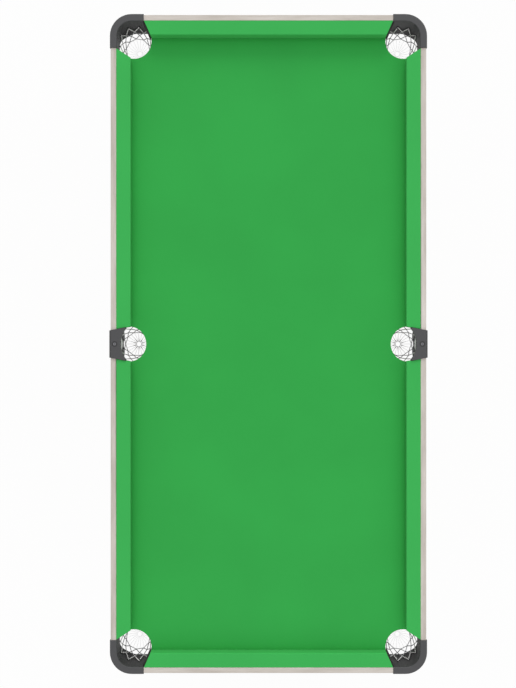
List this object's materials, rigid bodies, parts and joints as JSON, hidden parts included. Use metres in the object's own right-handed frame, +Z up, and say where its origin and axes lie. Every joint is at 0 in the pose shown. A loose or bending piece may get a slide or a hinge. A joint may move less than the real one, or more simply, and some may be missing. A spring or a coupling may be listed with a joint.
{
  "type": "folding-leg billiard table",
  "caption": "Small billiard table with green cloth bed and cushions, pale boards, grey pocket caps with nets, and steel leg frames that fold flat under the bed.",
  "frame": {"origin": "on the floor below the middle of the table", "axes": "+X across the width to the right, +Y along the length to the head end, +Z up"},
  "size_m": [0.7354, 1.523, 0.7652],
  "materials": {
    "whitewashed_board": "whitewashed, satin",
    "fibreboard": "raw fibreboard",
    "bed_cloth": "green felted cloth",
    "cushion_strip": "raw softwood",
    "cushion_rubber": "moulded rubber",
    "cushion_cloth": "green felted cloth",
    "cap_plastic": "fine-grained grey moulding",
    "net_cord": "knotted grey cord",
    "cap_screw": "blackened steel",
    "batten": "raw softwood",
    "bracket_steel": "dark grey coating",
    "leg_steel": "dark grey coating",
    "knob_plastic": "black moulding",
    "foot_plastic": "black moulding"
  },
  "bodies": {
    "table_top": {"bed_board": "fibreboard", "bed_cloth": "bed_cloth", "side_board_left": "whitewashed_board", "side_board_right": "whitewashed_board", "end_board_head": "whitewashed_board", "end_board_foot": "whitewashed_board", "cushion_strip_head_end": "cushion_strip", "cushion_strip_foot_end": "cushion_strip", "cushion_strip_head_right": "cushion_strip", "cushion_strip_foot_right": "cushion_strip", "cushion_strip_foot_left": "cushion_strip", "cushion_strip_head_left": "cushion_strip", "cushion_rubber_head_end": "cushion_rubber", "cushion_rubber_foot_end": "cushion_rubber", "cushion_rubber_head_right": "cushion_rubber", "cushion_rubber_foot_right": "cushion_rubber", "cushion_rubber_foot_left": "cushion_rubber", "cushion_rubber_head_left": "cushion_rubber", "cushion_cloth_head_end": "cushion_cloth", "cushion_cloth_foot_end": "cushion_cloth", "cushion_cloth_head_right": "cushion_cloth", "cushion_cloth_foot_right": "cushion_cloth", "cushion_cloth_foot_left": "cushion_cloth", "cushion_cloth_head_left": "cushion_cloth", "corner_cap_head_right": "cap_plastic", "corner_cap_head_left": "cap_plastic", "corner_cap_foot_left": "cap_plastic", "corner_cap_foot_right": "cap_plastic", "side_cap_left": "cap_plastic", "side_cap_right": "cap_plastic", "side_cap_screw_left": "cap_screw", "side_cap_screw_right": "cap_screw", "pocket_net_head_right": "net_cord", "pocket_net_head_left": "net_cord", "pocket_net_foot_left": "net_cord", "pocket_net_foot_right": "net_cord", "pocket_net_side_left": "net_cord", "pocket_net_side_right": "net_cord", "leg_batten_head": "batten", "leg_batten_foot": "batten", "leg_bracket_head_left": "bracket_steel", "leg_bracket_head_right": "bracket_steel", "leg_bracket_foot_left": "bracket_steel", "leg_bracket_foot_right": "bracket_steel"},
    "leg_frame_head": {"pivot_tube_head": "leg_steel", "leg_stretcher_head": "leg_steel", "leg_tube_head_left": "leg_steel", "leg_tube_head_right": "leg_steel"},
    "lock_knob_head_left": {"lock_knob_head_left": "knob_plastic"},
    "levelling_foot_head_left": {"levelling_foot_head_left": "foot_plastic"},
    "lock_knob_head_right": {"lock_knob_head_right": "knob_plastic"},
    "levelling_foot_head_right": {"levelling_foot_head_right": "foot_plastic"},
    "leg_frame_foot": {"pivot_tube_foot": "leg_steel", "leg_stretcher_foot": "leg_steel", "leg_tube_foot_left": "leg_steel", "leg_tube_foot_right": "leg_steel"},
    "lock_knob_foot_left": {"lock_knob_foot_left": "knob_plastic"},
    "levelling_foot_foot_left": {"levelling_foot_foot_left": "foot_plastic"},
    "lock_knob_foot_right": {"lock_knob_foot_right": "knob_plastic"},
    "levelling_foot_foot_right": {"levelling_foot_foot_right": "foot_plastic"}
  },
  "joints": [
    {"name": "leg_fold_head", "type": "hinge", "parent": "table_top", "child": "leg_frame_head", "pos_m": [0, 0.706, 0.6831], "axis": [-1, 0, 0], "range_deg": [0, 90]},
    {"name": "knob_turn_head_left", "type": "hinge", "parent": "leg_frame_head", "child": "lock_knob_head_left", "pos_m": [-0.2513, 0.706, 0.6381], "axis": [-1, 0, 0], "continuous": true},
    {"name": "foot_level_head_left", "type": "slide", "parent": "leg_frame_head", "child": "levelling_foot_head_left", "axis": [0, 0, -1], "range_m": [0, 0.012]},
    {"name": "knob_turn_head_right", "type": "hinge", "parent": "leg_frame_head", "child": "lock_knob_head_right", "pos_m": [0.2513, 0.706, 0.6381], "axis": [1, 0, 0], "continuous": true},
    {"name": "foot_level_head_right", "type": "slide", "parent": "leg_frame_head", "child": "levelling_foot_head_right", "axis": [0, 0, -1], "range_m": [0, 0.012]},
    {"name": "leg_fold_foot", "type": "hinge", "parent": "table_top", "child": "leg_frame_foot", "pos_m": [0, -0.706, 0.6831], "axis": [1, 0, 0], "range_deg": [0, 90]},
    {"name": "knob_turn_foot_left", "type": "hinge", "parent": "leg_frame_foot", "child": "lock_knob_foot_left", "pos_m": [-0.2513, -0.706, 0.6381], "axis": [-1, 0, 0], "continuous": true},
    {"name": "foot_level_foot_left", "type": "slide", "parent": "leg_frame_foot", "child": "levelling_foot_foot_left", "axis": [0, 0, -1], "range_m": [0, 0.012]},
    {"name": "knob_turn_foot_right", "type": "hinge", "parent": "leg_frame_foot", "child": "lock_knob_foot_right", "pos_m": [0.2513, -0.706, 0.6381], "axis": [1, 0, 0], "continuous": true},
    {"name": "foot_level_foot_right", "type": "slide", "parent": "leg_frame_foot", "child": "levelling_foot_foot_right", "axis": [0, 0, -1], "range_m": [0, 0.012]}
  ]
}
